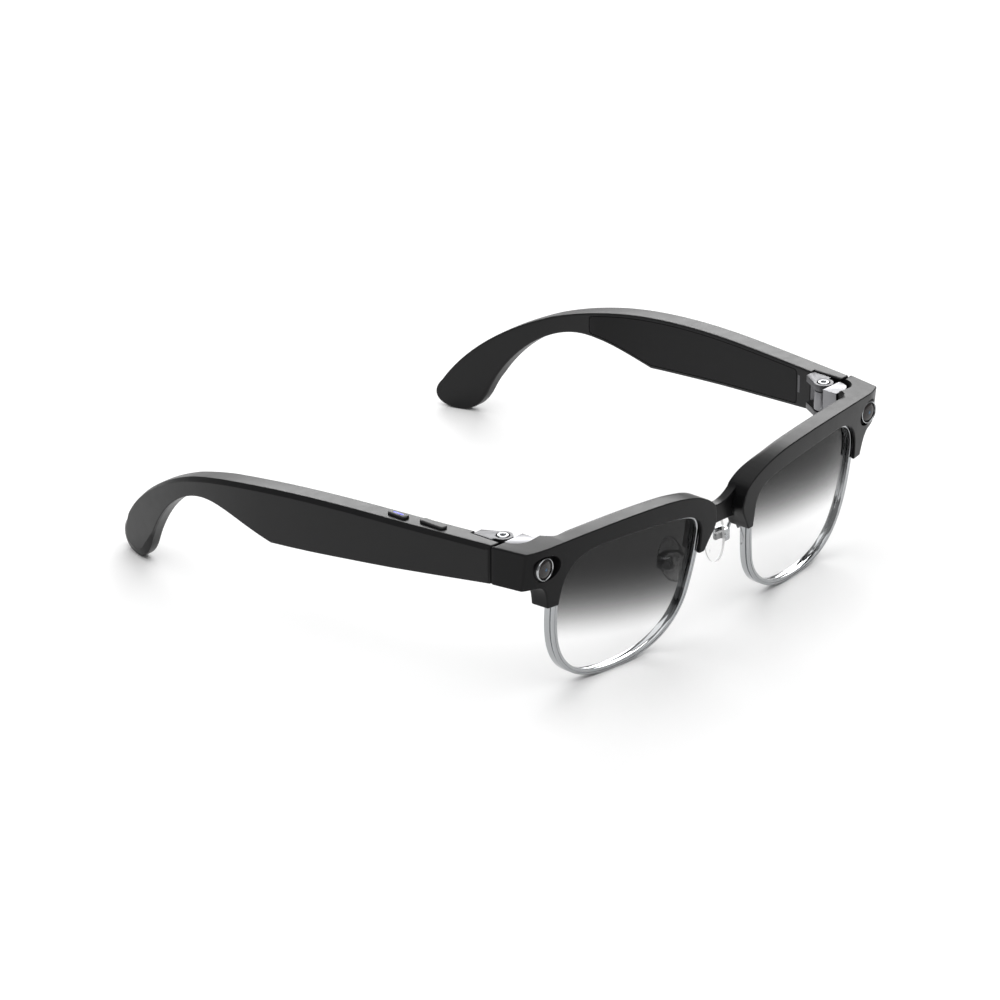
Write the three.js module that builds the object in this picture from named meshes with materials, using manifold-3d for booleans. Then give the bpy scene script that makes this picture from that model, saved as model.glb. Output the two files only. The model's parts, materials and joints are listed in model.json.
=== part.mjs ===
// Browline smart glasses: curved front with two cameras, full metal eyewires,
// rocking nose pads and two folding electronic temples.
// Millimetres. X is across the face (+X is the wearer's left), the front looks along -Y,
// the temples run along +Y, and Z = 0 is the table that the eyewires and temple tips stand on.
import * as THREE from 'three';
import { mergeVertices } from 'three/addons/utils/BufferGeometryUtils.js';
import Module from 'manifold-3d';

const wasm = await Module();
wasm.setup();

// ---------------------------------------------------------------- driving dimensions
const CENTRE_Y = 68.3;          // middle of the overall depth, moved to Y = 0 at the end
const GAP = 0.3;                // clearance between neighbouring pieces

const FACE_Y = -8.4;            // front face at the bridge
const FACE_RADIUS = 329;        // radius of the front in plan
const WRAP_START = 66;          // beyond this the endpiece curves back faster
const WRAP = 0.03;
const TILT = 0.12;              // pantoscopic lean: mm back per mm down
const TILT_Z = 28.6;            // height at which the lean is zero
const BROW_DEPTH = 5.3;
const BRIDGE = { front: 3.9, back: 6.8 };   // the bridge is set back between the two browbars
const CABLE = { front: 4.45, back: 4.75, room: 0.2 };
const TOP_Z = 43.5;             // top of the endpieces and of the temples' front ends
const ENDPIECE_BOTTOM = 33;
const SPLIT_Y = 9.1;            // rear face of the endpieces

const RIM_FRONT = 1.2;          // depths behind the brow's front face
const RIM_BACK = 4.2;
const RIM_WIDTH = 1.6;
const LENS_FRONT = 2.0;
const LENS_BACK = 3.4;
const LENS_INSET = 0.8;

const CAMERA = { x: 66.7, z: 38.2, front: -2.7, radius: 3.1 };
const HINGE = { x: 65.9, y: 12.1, knuckle: 2.5, leaf: 2.7, bore: 1.1 };
const LEAF = { low: 33.4, lowTop: 35.2, high: 41.3, top: 43.1 };

const TEMPLE_FRONT = 9.4;       // front end of the temple, just behind the endpiece
const TEMPLE_THICK = 6.4;
const TIP_THICK = 3.4;          // the hook thins towards its tip
const THIN_FROM = 98;
const THIN_TO = 146;
const HOUSING_WALL = 1.4;
const COVER_THICK = 1.2;
const COVER = { from: 24, to: 100, inset: 1.1 };
const CAVITY = { from: 26, to: 98, inset: 1.9 };

const PAD = { x: 8.8, y: 3.3, z: 19.6, thick: 0.95, wide: 3.8, tall: 6.8 };
const PAD_BOX_X = 11.6;

const BUTTONS = [
  { name: 'power_button', y: 39.9, length: 6.4 },
  { name: 'volume_button', y: 29.2, length: 8.4 },
];
const BUTTON_WIDTH = 2.6;
const BUTTON_PROUD = 0.7;
const BUTTON_DEPTH = 2.2;

// ---------------------------------------------------------------- materials
const material = (color, roughness, metalness, extra = {}) =>
  new THREE.MeshStandardMaterial({ color, roughness, metalness, ...extra });
const BLACK = material(0x1b1b1d, 0.35, 0);
const SATIN = material(0x2a2a2c, 0.45, 0);
const CHROME = material(0xd6d8db, 0.12, 1);
const STEEL = material(0x9a9da1, 0.3, 1);
const LENS = material(0x3a3a3c, 0.05, 0, { transparent: true, opacity: 0.5 });
const CLEAR = material(0xf2f2f0, 0.2, 0, { transparent: true, opacity: 0.6 });
const GLASS = material(0x0a0d14, 0.05, 0);
const BOARD = material(0x14532d, 0.6, 0);
const CELL = material(0xb9bcc0, 0.4, 0.6);
const GOLD = material(0xc9a14a, 0.3, 1);
const COPPER = material(0xb87333, 0.5, 0.4);
const LIGHT = material(0x3d6bff, 0.3, 0);

// ---------------------------------------------------------------- solids and meshes
function solidOf(geometry) {
  const bare = geometry.clone();
  bare.deleteAttribute('normal');
  bare.deleteAttribute('uv');
  const merged = mergeVertices(bare, 1e-4);
  const vertProperties = new Float32Array(merged.attributes.position.array);
  const triVerts = new Uint32Array(merged.index.array);
  return new wasm.Manifold(new wasm.Mesh({ numProp: 3, vertProperties, triVerts }));
}

function geometryOf(solid) {
  const mesh = solid.getMesh();
  const geometry = new THREE.BufferGeometry();
  geometry.setAttribute('position', new THREE.BufferAttribute(new Float32Array(mesh.vertProperties), 3));
  geometry.setIndex(new THREE.BufferAttribute(new Uint32Array(mesh.triVerts), 1));
  return geometry;
}

// The mirror image in the plane X = 0, with its faces turned outwards again.
function mirrored(geometry) {
  const copy = geometry.clone();
  copy.scale(-1, 1, 1);
  const index = copy.index.array;
  for (let i = 0; i < index.length; i += 3) {
    [index[i], index[i + 1]] = [index[i + 1], index[i]];
  }
  return copy;
}

const group = new THREE.Group();
group.position.y = -CENTRE_Y;

function addMesh(name, geometry, finish) {
  geometry.computeVertexNormals();
  const mesh = new THREE.Mesh(geometry, finish);
  mesh.name = name;
  group.add(mesh);
}

// Adds the wearer's left piece as built, and its mirror image as the right one.
function addPair(name, solid, finish) {
  const geometry = geometryOf(solid);
  addMesh(`${name}_left`, geometry, finish);
  addMesh(`${name}_right`, mirrored(geometry), finish);
}

// ---------------------------------------------------------------- extrusions
const X = new THREE.Vector3(1, 0, 0);
const Y = new THREE.Vector3(0, 1, 0);
const Z = new THREE.Vector3(0, 0, 1);

function extrude(points, depth) {
  const shape = new THREE.Shape(points.map(([u, v]) => new THREE.Vector2(u, v)));
  return new THREE.ExtrudeGeometry(shape, { depth, bevelEnabled: false, steps: 1 });
}

// An outline of [x, y] points, extruded upwards.
const alongZ = (points, low, high) => solidOf(extrude(points, high - low).translate(0, 0, low));

// An outline of [x, z] points, extruded from front to back.
function alongY(points, front, back) {
  const turned = new THREE.Matrix4().makeBasis(X, Z, Y.clone().negate());
  return solidOf(extrude(points, back - front).applyMatrix4(turned).translate(0, back, 0));
}

// An outline of [y, z] points, extruded sideways.
function alongX(points, low, high) {
  const turned = new THREE.Matrix4().makeBasis(Y, Z, X);
  return solidOf(extrude(points, high - low).applyMatrix4(turned).translate(low, 0, 0));
}

function box(x0, x1, y0, y1, z0, z1) {
  const geometry = new THREE.BoxGeometry(x1 - x0, y1 - y0, z1 - z0);
  return solidOf(geometry.translate((x0 + x1) / 2, (y0 + y1) / 2, (z0 + z1) / 2));
}

function postZ(x, y, radius, low, high, sides = 20) {
  const geometry = new THREE.CylinderGeometry(radius, radius, high - low, sides);
  return solidOf(geometry.rotateX(Math.PI / 2).translate(x, y, (low + high) / 2));
}

function postY(x, z, radius, front, back, sides = 20) {
  const geometry = new THREE.CylinderGeometry(radius, radius, back - front, sides);
  return solidOf(geometry.translate(x, (front + back) / 2, z));
}

function postX(y, z, radius, low, high, sides = 16) {
  const geometry = new THREE.CylinderGeometry(radius, radius, high - low, sides);
  return solidOf(geometry.rotateZ(Math.PI / 2).translate((low + high) / 2, y, z));
}

// ---------------------------------------------------------------- outlines
const pointsOf = (path, divisions) => path.getPoints(divisions).map((p) => [p.x, p.y]);

// Moves a closed outline inwards by a distance (outwards when it is negative).
function inset(points, distance) {
  const closed = points.filter((p, i) => {
    const q = points[(i + 1) % points.length];
    return Math.hypot(p[0] - q[0], p[1] - q[1]) > 1e-6;
  });
  const area = closed.reduce((sum, p, i) => {
    const q = closed[(i + 1) % closed.length];
    return sum + p[0] * q[1] - q[0] * p[1];
  }, 0);
  const turn = Math.sign(area);
  return closed.map((p, i) => {
    const before = closed[(i + closed.length - 1) % closed.length];
    const after = closed[(i + 1) % closed.length];
    const length = Math.hypot(after[0] - before[0], after[1] - before[1]);
    const normal = [-(after[1] - before[1]) / length, (after[0] - before[0]) / length];
    return [p[0] + turn * distance * normal[0], p[1] + turn * distance * normal[1]];
  });
}

// Second coordinate of a line of points where its first coordinate has a given value.
function heightAt(line, along) {
  const i = line.findIndex((p, k) => k > 0 && (p[0] - along) * (line[k - 1][0] - along) <= 0);
  const [a0, b0] = line[i - 1];
  const [a1, b1] = line[i];
  return b0 + ((b1 - b0) * (along - a0)) / (a1 - a0);
}

const faceY = (x) =>
  FACE_Y + (x * x) / (2 * FACE_RADIUS) + WRAP * Math.max(0, Math.abs(x) - WRAP_START) ** 2;

// Y of the leaning front face at a given place.
const frontY = (x, z) => faceY(x) - TILT * (z - TILT_Z);

const lean = new THREE.Matrix4().set(1, 0, 0, 0, 0, 1, -TILT, TILT * TILT_Z, 0, 0, 1, 0, 0, 0, 0, 1);

// The curved, leaning layer between two depths behind the front face.
function layer(front, back, from, to, steps) {
  const edge = (offset) => Array.from({ length: steps + 1 }, (_, i) => {
    const x = from + ((to - from) * i) / steps;
    return [x, faceY(x) + offset];
  });
  const outline = [...edge(front), ...edge(back).reverse()];
  return solidOf(extrude(outline, 90).translate(0, 0, -20).applyMatrix4(lean));
}

// ---------------------------------------------------------------- front frame
const BROW_END = 78;            // the brow outline runs past the side and is trimmed
const browTop = new THREE.Path();
browTop.moveTo(0, 34.6);
browTop.bezierCurveTo(3, 34.6, 5.5, 36.3, 6.7, 37.8);
browTop.bezierCurveTo(9.5, 40.8, 15, 43.4, 24, 44.4);
browTop.quadraticCurveTo(44, 46.2, BROW_END, 43.4);

const browBelow = new THREE.Path();
browBelow.moveTo(BROW_END, ENDPIECE_BOTTOM);
browBelow.lineTo(68.6, ENDPIECE_BOTTOM);
browBelow.bezierCurveTo(66.4, 33, 65.5, 31, 64.7, 26.2);
browBelow.lineTo(61, 26.2);
browBelow.bezierCurveTo(60.6, 35, 57.4, 40, 48, 39.9);
browBelow.quadraticCurveTo(34, 40, 21, 38.3);
browBelow.bezierCurveTo(14.4, 37.3, 11.3, 35.6, 11.3, 30);
browBelow.lineTo(11.2, 25);
browBelow.lineTo(9.2, 25);
browBelow.lineTo(7.6, 28.5);
browBelow.lineTo(0, 29);

// The same points on the other side of X = 0, in reverse order.
const mirroredPoints = (points) => points.map(([x, z]) => [-x, z]).reverse();

function browOutline() {
  const half = [...pointsOf(browTop, 7), ...pointsOf(browBelow, 6)];
  return [...half, ...mirroredPoints(half.slice(1, -1))];
}

// The eyewire's outer line, round the wearer's left lens.
function eyewireOutline() {
  const path = new THREE.Path();
  path.moveTo(61.7, 27);
  path.bezierCurveTo(61.5, 9.5, 56.3, 0, 37.5, 0);
  path.bezierCurveTo(23, 0, 14.5, 6, 12.4, 15.5);
  path.quadraticCurveTo(10.4, 24, 10.3, 31);
  path.bezierCurveTo(10.3, 36.5, 13.5, 38.4, 22, 39.4);
  path.quadraticCurveTo(35, 41, 48, 40.8);
  path.bezierCurveTo(57.5, 40.8, 61.9, 36, 61.7, 27);
  return pointsOf(path, 7);
}

// The hinge block in plan: flat at the back and on its inner side, rounded in front.
function hingeBlockOutline(grow) {
  const path = new THREE.Path();
  path.moveTo(61.8 - grow, SPLIT_Y + 0.01);
  path.lineTo(61.8 - grow, 4.7 - grow);
  path.lineTo(65, 4.7 - grow);
  path.bezierCurveTo(67.6, 4.7 - grow, 68.8 + grow, 6.4, 68.8 + grow, SPLIT_Y + 0.01);
  return pointsOf(path, 8);
}

function endpiece() {
  const front = [[56, 0.2], [66, 0.5], [70, 1], [76, 1.5]];
  const plan = [...front, [76, SPLIT_Y], [61.6, SPLIT_Y], [61.6, 4.4], [56, 1.4]];
  return alongZ(plan, ENDPIECE_BOTTOM, TOP_Z);
}

function cableTunnel(above, below, front, back, end, steps) {
  const topLine = pointsOf(browTop, 7);
  const upper = [...topLine.filter(([x]) => x < end - 0.5), [end, heightAt(topLine, end)]];
  const wholeLine = [...upper.slice(1).reverse().map(([x, z]) => [-x, z]), ...upper];
  const outline = [
    ...wholeLine.map(([x, z]) => [x, z - above]),
    ...wholeLine.reverse().map(([x, z]) => [x, z - below]),
  ];
  return alongY(outline, -30, 30).intersect(layer(front, back, -end, end, steps));
}

function screwPlaces() {
  return [{ name: 'outer', x: 63.5, z: 30.5 }, { name: 'inner', x: 8.0, z: 35.4 }];
}

function frontFrame() {
  const sideTrim = [[-70.4, -12], [70.4, -12], [74.25, 10], [-74.25, 10]];
  let left = endpiece();
  left = left.subtract(alongZ(hingeBlockOutline(GAP), ENDPIECE_BOTTOM - 1, TOP_Z + 1));
  const right = solidOf(mirrored(geometryOf(left)));
  let frame = alongY(browOutline(), -30, 30).intersect(layer(0, BROW_DEPTH, -BROW_END, BROW_END, 24));
  frame = frame.add(left).add(right).intersect(alongZ(sideTrim, -5, 60));

  const nasalEdge = [[7.6, 46], [6.7, 37.8], [5.8, 35.3], [5.5, 32.4], [6.5, 30.5], [7.6, 28.5], [7.6, 20]];
  const bridgeRecess = [...nasalEdge, ...mirroredPoints(nasalEdge)];
  frame = frame.subtract(alongY(bridgeRecess, -30, 30).intersect(layer(-5, BRIDGE.front, -9, 9, 4)));
  const bridgeHalf = [[0, 34.6], [3.6, 35.4], [6.3, 37.4], [6.3, 31.2], [7.6, 28.5], [0, 29]];
  const bridge = alongY([...bridgeHalf, ...mirroredPoints(bridgeHalf.slice(1, -1))], -30, 30);
  frame = frame.add(bridge.intersect(layer(BRIDGE.front, BRIDGE.back, -9, 9, 4)));

  let cuts = alongY(inset(eyewireOutline(), -GAP), -30, 30).intersect(layer(0.9, 20, 8, 66, 10));
  const recess = new THREE.Path();
  recess.absellipse(CAMERA.x, CAMERA.z, 4.7, 3.6, 0, 2 * Math.PI, false, 0);
  cuts = cuts.add(alongY(pointsOf(recess, 24), -12, CAMERA.front + 1.2));
  cuts = cuts.add(postY(CAMERA.x, CAMERA.z, CAMERA.radius + GAP, -12, 4.2));
  const cableFront = frontY(66, 43) + CABLE.front - CABLE.room;
  cuts = cuts.add(box(65, 66.4, cableFront, cableFront + 1, 40.8, 42.9));
  for (const place of screwPlaces()) {
    const back = frontY(place.x, place.z) + BROW_DEPTH;
    cuts = cuts.add(postY(place.x, place.z, 0.8, back - 2.6, back + 2, 12));
  }
  frame = frame.subtract(cuts).subtract(solidOf(mirrored(geometryOf(cuts))));
  const tunnel = cableTunnel(1.2, 2.5, CABLE.front - CABLE.room, CABLE.back + CABLE.room, 66.4, 16);
  return frame.subtract(tunnel);
}

addMesh('front_frame', geometryOf(frontFrame()), BLACK);
const cable = cableTunnel(1.5, 2.2, CABLE.front, CABLE.back, 64, 16);
addMesh('front_flex_cable', geometryOf(cable), COPPER);

// ---------------------------------------------------------------- eyewires and lenses
function eyewire() {
  const outline = eyewireOutline();
  const ring = alongY(outline, -30, 30).subtract(alongY(inset(outline, RIM_WIDTH), -31, 31));
  const groove = alongY(inset(outline, LENS_INSET - GAP), -30, 30);
  return ring.intersect(layer(RIM_FRONT, RIM_BACK, 8, 66, 10))
    .subtract(groove.intersect(layer(LENS_FRONT - GAP, LENS_BACK + GAP, 8, 66, 10)));
}

const lens = alongY(inset(eyewireOutline(), LENS_INSET), -30, 30)
  .intersect(layer(LENS_FRONT, LENS_BACK, 8, 66, 10));

addPair('eyewire', eyewire(), CHROME);
addPair('lens', lens, LENS);

for (const place of screwPlaces()) {
  const back = frontY(place.x, place.z) + BROW_DEPTH;
  const shank = postY(place.x, place.z, 0.5, back - 2.2, back + 0.6, 12);
  const head = postY(place.x, place.z, 1.25, back + 0.45, back + 1.1, 14);
  addPair(`eyewire_screw_${place.name}`, shank.add(head), STEEL);
}

// ---------------------------------------------------------------- cameras
const barrelBack = CAMERA.front + 5.4;
const barrel = postY(CAMERA.x, CAMERA.z, CAMERA.radius, CAMERA.front + 0.5, barrelBack)
  .subtract(postY(CAMERA.x, CAMERA.z, CAMERA.radius - 0.6, CAMERA.front - 1, CAMERA.front + 1.6));
const ring = postY(CAMERA.x, CAMERA.z, CAMERA.radius, CAMERA.front - 0.3, CAMERA.front + 0.2)
  .subtract(postY(CAMERA.x, CAMERA.z, CAMERA.radius - 0.35, CAMERA.front - 1, CAMERA.front + 1));

function cameraGlass() {
  const path = new THREE.Path();
  path.moveTo(0, -0.6);
  path.lineTo(2.1, -0.6);
  path.lineTo(2.1, 0.2);
  path.quadraticCurveTo(1.3, 0.9, 0, 1.0);
  const profile = path.getPoints(3);
  profile[profile.length - 1].x = 0;
  const geometry = new THREE.LatheGeometry(profile, 20);
  return solidOf(geometry.rotateX(Math.PI).translate(CAMERA.x, CAMERA.front + 0.9, CAMERA.z));
}

addPair('camera_barrel', barrel, BLACK);
addPair('camera_ring', ring, CHROME);
addPair('camera_glass', cameraGlass(), GLASS);
addPair('camera_board', box(64.2, 69.2, barrelBack + GAP, barrelBack + 1.1, 35.9, 40.5), BOARD);

// ---------------------------------------------------------------- nose pads
const padBox = { x0: PAD_BOX_X - 1.1, x1: PAD_BOX_X + 1.8, half: 1.6, slot: 0.8 };

function padArm() {
  const wire = new THREE.CatmullRomCurve3([
    new THREE.Vector3(11.6, -2.5, 23.4),
    new THREE.Vector3(12.4, -1.0, 24.2),
    new THREE.Vector3(13.6, 1.2, 23.6),
    new THREE.Vector3(14.8, 3.0, 22.0),
    new THREE.Vector3(13.3, PAD.y, PAD.z),
  ]);
  const round = new THREE.Shape().absarc(0, 0, 0.55, 0, 2 * Math.PI, false);
  const wireGeometry = new THREE.ExtrudeGeometry(round, { extrudePath: wire, steps: 10, curveSegments: 4 });
  const { x0, x1, half, slot } = padBox;
  const cheeks = box(x0, x1, PAD.y - half, PAD.y + half, PAD.z - 1.7, PAD.z + 1.7);
  const opening = box(x0 - 1, x1 - 0.6, PAD.y - slot, PAD.y + slot, PAD.z - 3, PAD.z + 3);
  const bore = postY(PAD_BOX_X, PAD.z, 0.65, PAD.y - 3, PAD.y + 3, 14);
  return cheeks.add(solidOf(wireGeometry)).subtract(opening).subtract(bore);
}

function nosePad() {
  const geometry = new THREE.SphereGeometry(1, 16, 10);
  geometry.rotateX(Math.PI / 2).scale(PAD.thick, PAD.wide, PAD.tall);
  geometry.rotateZ(THREE.MathUtils.degToRad(-14)).rotateY(THREE.MathUtils.degToRad(8));
  geometry.translate(PAD.x, PAD.y, PAD.z);
  const lug = box(PAD.x, PAD_BOX_X, PAD.y - 0.5, PAD.y + 0.5, PAD.z - 0.95, PAD.z + 0.95)
    .add(postY(PAD_BOX_X, PAD.z, 0.95, PAD.y - 0.5, PAD.y + 0.5, 18))
    .subtract(postY(PAD_BOX_X, PAD.z, 0.65, PAD.y - 3, PAD.y + 3, 14));
  return solidOf(geometry).add(lug);
}

addPair('pad_arm', padArm(), CHROME);
addPair('nose_pad', nosePad(), CLEAR);
addPair('pad_screw', postY(PAD_BOX_X, PAD.z, 0.4, PAD.y - 1.5, PAD.y + 1.9, 12)
  .add(postY(PAD_BOX_X, PAD.z, 0.8, PAD.y + 1.8, PAD.y + 2.2, 16)), STEEL);

// ---------------------------------------------------------------- hinges
function hingeBlock() {
  const { x, y, knuckle, bore } = HINGE;
  return alongZ(hingeBlockOutline(0), 33.8, 43.1)
    .add(box(64.2, 67.6, SPLIT_Y - 1, y, 35.6, 40.9))
    .add(postZ(x, y, knuckle, 35.6, 40.9))
    .subtract(postZ(x, y, bore, 30, 45));
}

// One of the two plates of the temple's leaf, rounded about the hinge axis.
function leafPlate(low, high) {
  const { x, y, leaf } = HINGE;
  const plate = [[x - leaf, y], [x + leaf, y], [69.8, y + 1.8], [69.8, 18.6], [66.8, 18.6]];
  return alongZ(plate, low, high).add(postZ(x, y, leaf, low, high));
}

function hingeLeaf() {
  return leafPlate(LEAF.low, LEAF.lowTop)
    .add(leafPlate(LEAF.high, LEAF.top))
    .add(box(68.7, 69.8, 12.6, 18.6, LEAF.low, LEAF.top))
    .add(box(69.3, 70.3, 18, 23.5, 36, 41))
    .subtract(postZ(HINGE.x, HINGE.y, HINGE.bore, 30, 45))
    .subtract(postZ(HINGE.x, HINGE.y, 1.9, LEAF.top - 0.8, 45));
}

const hingeScrew = postZ(HINGE.x, HINGE.y, 0.8, 33.6, LEAF.top - 0.4, 20)
  .add(postZ(HINGE.x, HINGE.y, 1.6, LEAF.top - 0.5, LEAF.top + 0.2, 28))
  .subtract(postZ(HINGE.x, HINGE.y, 0.5, LEAF.top - 0.2, 45, 6));

addPair('hinge_block', hingeBlock(), STEEL);
addPair('hinge_leaf', hingeLeaf(), STEEL);
addPair('hinge_screw', hingeScrew, CHROME);

// ---------------------------------------------------------------- temples
// Plan of the outer face, as [x, y] points.
const outerFace = new THREE.Path();
outerFace.moveTo(74.0, TEMPLE_FRONT);
outerFace.bezierCurveTo(76.2, 27, 80.6, 55, 80.6, 82);
outerFace.bezierCurveTo(80.6, 104, 74, 125, 64.8, 150);
const OUTER_LINE = pointsOf(outerFace, 14);

// X of the outer face at a given Y.
function outerX(y) {
  const i = OUTER_LINE.findIndex((p) => p[1] >= y);
  const [x1, y1] = OUTER_LINE[Math.max(i, 1)];
  const [x0, y0] = OUTER_LINE[Math.max(i, 1) - 1];
  return x0 + ((x1 - x0) * (y - y0)) / (y1 - y0);
}

// Thickness of the temple at a given Y.
function thickness(y) {
  const t = THREE.MathUtils.clamp((y - THIN_FROM) / (THIN_TO - THIN_FROM), 0, 1);
  return TEMPLE_THICK + (TIP_THICK - TEMPLE_THICK) * t;
}

// The part of the temple between two depths inside its outer face. A depth may be a function of Y.
function templeLayer(outer, inner) {
  const edge = (depthAt) => OUTER_LINE.map((p, i) => {
    const depth = typeof depthAt === 'function' ? depthAt(p[1]) : depthAt;
    const before = OUTER_LINE[Math.max(i - 1, 0)];
    const after = OUTER_LINE[Math.min(i + 1, OUTER_LINE.length - 1)];
    const length = Math.hypot(after[0] - before[0], after[1] - before[1]);
    const step = depth / length;
    return [p[0] - step * (after[1] - before[1]), p[1] + step * (after[0] - before[0])];
  });
  const stretch = (points) => [[points[0][0], -5], ...points];
  return alongZ([...stretch(edge(outer)), ...stretch(edge(inner)).reverse()], -10, 60);
}

// Side view of the temple, as [y, z] points.
const templeTop = new THREE.Path();
templeTop.moveTo(TEMPLE_FRONT, TOP_Z);
templeTop.lineTo(46, 43.2);
templeTop.bezierCurveTo(78, 42.8, 98, 39.2, 112, 34);
templeTop.bezierCurveTo(129, 27, 140, 18, 146.3, 8);
const templeTip = new THREE.Path();
templeTip.moveTo(146.3, 8);
templeTip.bezierCurveTo(149.5, 4.5, 148, 0, 141.5, 0);
templeTip.bezierCurveTo(137, 0, 134, 2.5, 132, 7.5);
const templeUnder = new THREE.Path();
templeUnder.moveTo(132, 7.5);
templeUnder.bezierCurveTo(126.5, 20, 115, 30.1, 103, 30.6);
templeUnder.bezierCurveTo(96, 30.9, 88, 28, 79, 26.1);
templeUnder.lineTo(40, 29.8);
templeUnder.lineTo(TEMPLE_FRONT, ENDPIECE_BOTTOM);

const TOP_LINE = pointsOf(templeTop, 12);
const UNDER_LINE = pointsOf(templeUnder, 12);
const topZ = (y) => heightAt(TOP_LINE, y);
const underZ = (y) => heightAt(UNDER_LINE, y);

// A side outline that follows the temple between two stations, a distance inside its edges.
function sideOutline(from, to, belowTop, aboveUnder, steps = 16) {
  const ys = Array.from({ length: steps + 1 }, (_, i) => from + ((to - from) * i) / steps);
  const upper = ys.map((y) => [y, topZ(y) - belowTop]);
  const lower = ys.map((y) => [y, underZ(y) + aboveUnder]).reverse();
  return [...upper, ...lower];
}

// A piece that lies inside the temple, between two stations and two depths.
const templePiece = (from, to, belowTop, aboveUnder, outer, inner) =>
  alongX(sideOutline(from, to, belowTop, aboveUnder), 40, 100).intersect(templeLayer(outer, inner));

const SPEAKER = { from: 84, to: 95 };
const coverDepth = TEMPLE_THICK - COVER_THICK;

function housing() {
  const side = [...TOP_LINE, ...pointsOf(templeTip, 12).slice(1), ...UNDER_LINE.slice(1)];
  let body = alongX(side, 40, 100).intersect(templeLayer(0, thickness));
  body = body.subtract(templePiece(CAVITY.from, CAVITY.to, CAVITY.inset, CAVITY.inset, HOUSING_WALL, 20));
  body = body.subtract(templePiece(COVER.from, COVER.to, COVER.inset, COVER.inset, coverDepth - GAP, 20));
  body = body.subtract(box(60, 70.2, 5, 18.9, 20, 50));
  body = body.subtract(box(66, 70.6, 18, 23.8, 35.7, 41.3));
  for (let y = SPEAKER.from + 1; y < SPEAKER.to; y += 2) {
    body = body.subtract(box(outerX(y) - 4, outerX(y) - 2.2, y, y + 1, underZ(y) - 2, underZ(y) + 3));
  }
  return body;
}

const cover = templePiece(COVER.from + GAP, COVER.to - GAP, COVER.inset + GAP, COVER.inset + GAP,
  coverDepth, TEMPLE_THICK);
const MIC = { y: 31.3, z: 33.6 };
const CONTACTS = [58, 62.5];
const CONTACT_Z = 34.5;
const LIGHT_BAR = { length: 3.6, width: 0.7 };

// Stadium outline of a button, along the temple's top edge.
function buttonOutline(button, grow) {
  const x = outerX(button.y) - TEMPLE_THICK / 2 - 0.3;
  const radius = BUTTON_WIDTH / 2 + grow;
  const reach = button.length / 2 - BUTTON_WIDTH / 2;
  const path = new THREE.Path();
  path.absarc(x, button.y + reach, radius, 0, Math.PI, false);
  path.absarc(x, button.y - reach, radius, Math.PI, 2 * Math.PI, false);
  return pointsOf(path, 10);
}

function addButton(button, isPower) {
  const top = topZ(button.y);
  const x = outerX(button.y) - TEMPLE_THICK / 2 - 0.3;
  let plunger = alongZ(buttonOutline(button, 0), top - BUTTON_DEPTH, top + BUTTON_PROUD);
  if (isPower) {
    const { length, width } = LIGHT_BAR;
    const high = top + BUTTON_PROUD;
    const bar = (grow, low, upTo) => box(x - width / 2 - grow, x + width / 2 + grow,
      button.y - length / 2 - grow, button.y + length / 2 + grow, low, upTo);
    plunger = plunger.subtract(bar(GAP, high - 0.9, high + 1));
    addMesh('status_light', mirrored(geometryOf(bar(0, high - 0.6, high + 0.05))), LIGHT);
  }
  addMesh(button.name, mirrored(geometryOf(plunger)), BLACK);
  const switchTop = top - BUTTON_DEPTH - 0.8;
  const tact = box(x - 1, x + 1, button.y - 1.5, button.y + 1.5, switchTop - 1, switchTop);
  addMesh(`${button.name}_switch`, mirrored(geometryOf(tact)), STEEL);
  return alongZ(buttonOutline(button, GAP), top - 3, top + 3);
}

function addTemple(side) {
  const place = side === 'right' ? mirrored : (geometry) => geometry;
  const add = (name, solid, finish) => addMesh(`${name}_${side}`, place(geometryOf(solid)), finish);
  let shell = housing();
  let panel = cover;
  if (side === 'right') {
    BUTTONS.forEach((button, i) => {
      shell = shell.subtract(addButton(button, i === 0));
    });
    CONTACTS.forEach((y, i) => {
      const inner = outerX(y) - TEMPLE_THICK;
      panel = panel.subtract(postX(y, CONTACT_Z, 1.3, 60, 90));
      const pin = postX(y, CONTACT_Z, 1, inner + 0.02, inner + 1.7);
      addMesh(`charging_contact_${i + 1}`, mirrored(geometryOf(pin)), GOLD);
    });
  } else {
    const inner = outerX(MIC.y) - TEMPLE_THICK;
    panel = panel.subtract(postX(MIC.y, MIC.z, 0.5, 60, 90));
    addMesh('microphone', geometryOf(postX(MIC.y, MIC.z, 0.8, inner + 1.6, inner + 2.4)), GOLD);
  }
  add('temple_housing', shell, SATIN);
  add('temple_cover', panel, BLACK);
  add('temple_board', templePiece(28, 50, 5.2, 2.6, 2.2, 3.0), BOARD);
  add('battery', templePiece(52, 82, 2.6, 2.6, 1.8, 4.3), CELL);
  add('speaker', templePiece(SPEAKER.from, SPEAKER.to, 2.6, 4, 1.8, 4.3), STEEL);
}

addTemple('left');
addTemple('right');

export default group;
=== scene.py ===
import json
import math

import bmesh
import bpy
from mathutils import Matrix, Vector


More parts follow.
